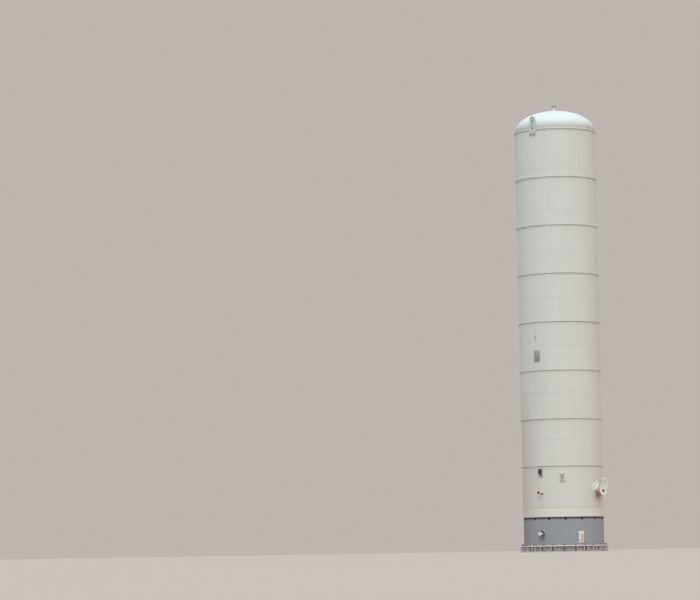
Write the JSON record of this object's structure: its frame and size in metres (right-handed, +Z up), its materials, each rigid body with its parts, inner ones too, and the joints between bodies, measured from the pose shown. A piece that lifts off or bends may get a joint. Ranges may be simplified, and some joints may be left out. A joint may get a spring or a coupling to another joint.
{
  "type": "domed vertical gas vessel on a skirt",
  "caption": "Tall ringed steel pressure vessel with a domed top, a side manway on a davit and a grey skirt on an anchor-bolt base ring.",
  "frame": {"origin": "centre of the base ring's flat underside, on the vessel's axis", "axes": "+Z up along the vessel's axis; -Y is the front, with the nameplate a little to its left and the manway to its right (+X)"},
  "size_m": [5.1115, 5.08, 25.815],
  "materials": {
    "off_white_paint": "weathered satin paint",
    "dome_white_paint": "satin paint, lit from the sky",
    "grey_primer": "matt primer",
    "plate_aluminium": "dull",
    "dark_steel": "dull dark paint",
    "rusted_steel": "rusted",
    "white_paint": "satin paint"
  },
  "bodies": {
    "vessel": {"upper_skirt": "off_white_paint", "bottom_head": "off_white_paint", "shell_course_1": "off_white_paint", "shell_course_2": "off_white_paint", "shell_course_3": "off_white_paint", "shell_course_4": "off_white_paint", "shell_course_5": "off_white_paint", "shell_course_6": "off_white_paint", "shell_course_7": "off_white_paint", "shell_course_8": "off_white_paint", "support_ring_1": "off_white_paint", "support_ring_2": "off_white_paint", "support_ring_3": "off_white_paint", "support_ring_4": "off_white_paint", "support_ring_5": "off_white_paint", "support_ring_6": "off_white_paint", "support_ring_7": "off_white_paint", "support_ring_8_left": "off_white_paint", "support_ring_8_right": "off_white_paint", "lifting_lug_front": "off_white_paint", "lifting_lug_back": "off_white_paint", "manway_nozzle": "off_white_paint", "manway_davit_socket": "off_white_paint", "drain_nozzle": "off_white_paint", "support_clip_front": "off_white_paint", "earth_lug": "off_white_paint", "dome_clip": "off_white_paint", "top_head": "dome_white_paint", "top_nozzle": "dome_white_paint", "base_ring": "grey_primer", "anchor_chairs": "grey_primer", "lower_skirt_front": "grey_primer", "lower_skirt_back": "grey_primer", "pipe_sleeve": "grey_primer", "access_collar": "grey_primer", "nameplate": "plate_aluminium", "support_clip_left": "dark_steel", "top_nozzle_cover": "rusted_steel", "drain_nozzle_cover": "rusted_steel", "outlet_pipe": "white_paint", "outlet_flange": "white_paint", "outlet_cover": "white_paint", "sign_board": "white_paint"},
    "manway_door": {"manway_cover": "off_white_paint", "manway_davit": "off_white_paint"}
  },
  "joints": [
    {"name": "manway_swing", "type": "hinge", "parent": "vessel", "child": "manway_door", "pos_m": [2.528, -1.0034, 3.545], "axis": [0, 0, 1], "range_deg": [0, 110]}
  ]
}
